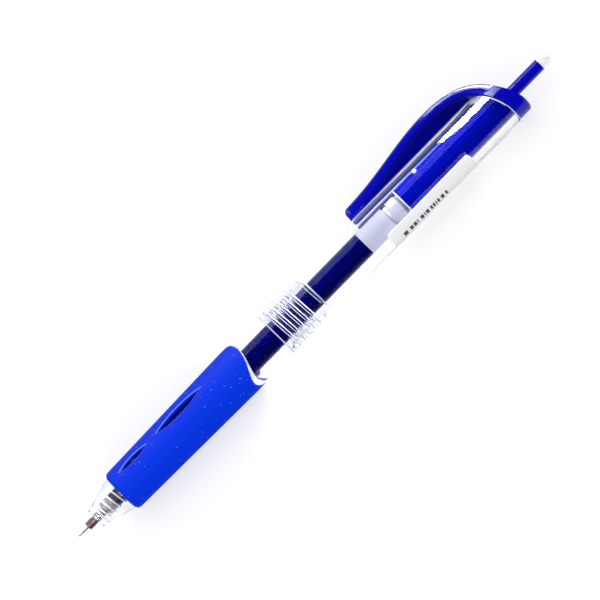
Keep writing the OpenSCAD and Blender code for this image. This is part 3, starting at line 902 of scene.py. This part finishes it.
# Under the grip, the skin gets the dark blue of painted shade.
refinish(threaded, seat_painted_shade, lambda centre, normal: not faces_along(normal)
         and radius_of(centre) > seat_from_r * mm
         and grip_low.x + 1 * mm < centre.x < grip_high.x - 7 * mm)
refinish(threaded, satin_painted_sheen, lambda centre, normal: faces_along(normal)
         and radius_of(centre) > spigot_from_r * mm and centre.x > along(thread_u[1]))
refinish(threaded, nose_plastic, lambda centre, normal: centre.x < grip_low.x)
stand_for(threaded, "front_barrel", "front")

# %% [markdown]
# The rear section carries the socket's thread: one run of five turns, a
# plain stretch, and a last short turn at the spigot's end. Its flanks are
# satin, and their pale lavender is a painted sheen, so that they show as
# bright slanted lines over the dark ink.

# %% Rear section
rim_x, rim_bevel = along(128), 0.18 * mm
clear_rear = merged_copy("rear_barrel", "clear_rear_section")
cut_away(clear_rear, groove_cutter(64.1, 5.05, 4.6, 5.2, -rest_roll + math.pi))
cut_away(clear_rear, groove_cutter(74.3, 0.9, 4.6, 5.0, -rest_roll + math.pi))
bevel_where(clear_rear, rim_bevel, 1, lambda middle, one, other: middle.x > rim_x
            and radius_of(middle) > 5.6 * mm and faces_along(one) != faces_along(other))
smooth(clear_rear, 30)
paint(clear_rear, clear_plastic)
refinish(clear_rear, frosted, lambda centre, normal: faces_along(normal) and radius_of(centre) > ring_r * mm
         and not along(thread_u[0]) < centre.x < rim_x)
# The socket's thread flanks get the satin with its painted sheen.
refinish(clear_rear, satin_painted_sheen, lambda centre, normal: faces_along(normal) and in_thread(centre)
         and radius_of(centre) > socket_r * mm)
stand_for(clear_rear, "rear_barrel", "rear")

# %% [markdown]
# ## The grip
# The rubber is cut through by two rows of leaf-shaped slots. The edges of
# the real slots are rounded and catch the light, so a copy of the grip gets
# a bevel along them, in a lighter blue that is a painted highlight.

# %% Grip
slotted = merged_copy("grip", "slotted_grip")
slots_from, slots_to = grip_low.x + 2 * mm, grip_high.x - 5 * mm
slot_bevel = 0.22 * mm


def on_skin(place, normal):
    """Whether a face lies on the grip's outer skin."""
    return abs(normal.dot(outward_at(place))) > 0.9


def slot_edge(middle, one, other):
    """Whether an edge lies between the grip's skin and the wall of a slot."""
    return (slots_from < middle.x < slots_to and radius_of(middle) > 5.2 * mm
            and on_skin(middle, one) != on_skin(middle, other))


bevel_where(slotted, slot_bevel, 1, slot_edge, clamp=False)
smooth(slotted, 35)
paint(slotted, grip_rubber)
# The faces that look inwards get the darker blue of painted shade, with a painted glow.
refinish(slotted, grip_inside_painted_shade_glow, lambda centre, normal: normal.dot(outward_at(centre)) < -0.9)
# The slots' bevelled rims get the lighter blue of a painted highlight.
refinish(slotted, grip_rim_painted_highlight, lambda centre, normal: slots_from < centre.x < slots_to
         and 0.25 < normal.dot(outward_at(centre)) < 0.96 and not faces_along(normal))
stand_for(slotted, "grip", "front")

# %% [markdown]
# A small bright spot shows on the barrel near the clip. It is taken for the
# mark of the gate through which the mould was filled: a small round pip,
# which glints in the light. The inset and the move below take the bevel's
# faces along with the top. That folds the pip's rim over itself by about a
# hundredth of a millimetre, and no dimple forms. To get one, only the top
# face would be selected again before the inset.

# %% Gate mark
pip_r, pip_height = 0.55 * mm, 0.26 * mm
carrier = surface_of(clear_rear)
spot, outward = place_at("gate_nub", carrier)
bpy.ops.object.select_all(action="DESELECT")
bpy.ops.mesh.primitive_cylinder_add(vertices=20, radius=pip_r, depth=pip_height, location=(0, 0, 0))
gate = bpy.context.object
gate.name = "gate_mark"
gate.data.name = "gate_mark"
bpy.context.tool_settings.mesh_select_mode = (False, False, True)
bpy.ops.object.mode_set(mode="EDIT")
bpy.ops.mesh.select_all(action="DESELECT")
bpy.ops.object.mode_set(mode="OBJECT")
for face in gate.data.polygons:
    face.select = face.normal.z > 0.9
bpy.ops.object.mode_set(mode="EDIT")
bpy.ops.mesh.bevel(offset=0.08 * mm, segments=2, affect="EDGES")
bpy.ops.mesh.inset(thickness=0.1 * mm)
bpy.ops.transform.translate(value=(0, 0, -0.07 * mm))
bpy.ops.object.mode_set(mode="OBJECT")
gate.rotation_euler = outward.to_track_quat("Z", "Y").to_euler()
gate.location = spot + outward * 0.04 * mm
only(gate)
bpy.ops.object.transform_apply(location=True, rotation=True)
smooth(gate, 40)
paint(gate, frosted)
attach(gate, "rear")
print("gate mark at", [round(v, 4) for v in spot])

# %% [markdown]
# ## Sizes and image points
# How far does each feature show from where the photograph has it? An edge
# across the pen is measured along the pen only, a spot both ways. The gate
# mark and the bars were placed by their own points, so their offsets only
# check the rays. The camera comes from one line along the pen in the same
# photograph, and the pen's lengths were measured on that line, so the other
# offsets show that the work agrees with its source. None of them is an
# independent test of the pen's size.

# %% Sizes and points
def spots(piece, chosen=None):
    """Where the camera sees a piece's vertices, or those for which chosen(place) is true."""
    places = [v.co for v in piece.data.vertices]
    return [seen_at(place) for place in places if chosen is None or chosen(place)]


def middle_of(places):
    """The middle of a set of image points."""
    return tuple(sum(place[i] for place in places) / len(places) for i in (0, 1))


def edge_off(name, place):
    """How far an edge across the pen is from its point, measured along the pen."""
    step = ((place[0] - points[name][0]) * picture_along.x
            - (place[1] - points[name][1]) * picture_along.y)
    return (round(step * picture_along.x, 1), round(-step * picture_along.y, 1))


def spot_off(name, place):
    """How far a spot is from its point."""
    return (round(place[0] - points[name][0], 1), round(place[1] - points[name][1], 1))


def front_edge(piece, depth=0.05 * mm):
    """The middle of a piece's foremost vertices."""
    first = min(v.co.x for v in piece.data.vertices)
    return middle_of(spots(piece, lambda place: place.x < first + depth))


def rear_edge(piece, depth=0.05 * mm):
    """The middle of a piece's rearmost vertices."""
    last = max(v.co.x for v in piece.data.vertices)
    return middle_of(spots(piece, lambda place: place.x > last - depth))


pieces = [threaded, clear_rear, clip, slotted, nodes["writing_point"], nodes["writing_ball"],
          nodes["push_button"], nodes["button_plug"]]
outline = [place for piece in pieces for place in spots(piece)]
cap_low = [v.co.x for v in clip.data.vertices if outward_at(v.co).dot(clip_way) < -0.5]
front_slot_end = 26.5
rims = [face.center for face in slotted.data.polygons
        if slotted.data.materials[face.material_index] == grip_rim_painted_highlight
        and face.center.x < along(front_slot_end)
        and outward_at(face.center).dot(towards_camera) > 0.2]
off = {
    "front_slot": spot_off("front_slot", middle_of([seen_at(place) for place in rims])),
    "object_left": (round(min(x for x, _ in outline) - points["object_left"][0], 1), 0),
    "object_right": (round(max(x for x, _ in outline) - points["object_right"][0], 1), 0),
    "object_top": (0, round(min(y for _, y in outline) - points["object_top"][1], 1)),
    "object_bottom": (0, round(max(y for _, y in outline) - points["object_bottom"][1], 1)),
    "point_tip": spot_off("point_tip", front_edge(nodes["writing_ball"])),
    "grip_front": edge_off("grip_front", front_edge(slotted)),
    "section_joint": edge_off("section_joint", front_edge(clear_rear)),
    "clip_free_end": edge_off("clip_free_end", front_edge(clip)),
    "sleeve_front": edge_off("sleeve_front", front_edge(nodes["guide_sleeve"])),
    "label_front": edge_off("label_front", front_edge(nodes["label"])),
    "label_rear": edge_off("label_rear", rear_edge(nodes["label"])),
    "gate_nub": spot_off("gate_nub", middle_of(spots(gate))),
    "cap_front": edge_off("cap_front", seen_at((min(cap_low), axis_y, axis_z))),
    "button_end": spot_off("button_end", rear_edge(nodes["button_plug"])),
    "bars_front": edge_off("bars_front", seen_at(bars_from)),
    "bars_rear": edge_off("bars_rear", seen_at(bars_to)),
}
print("points off by:", off)
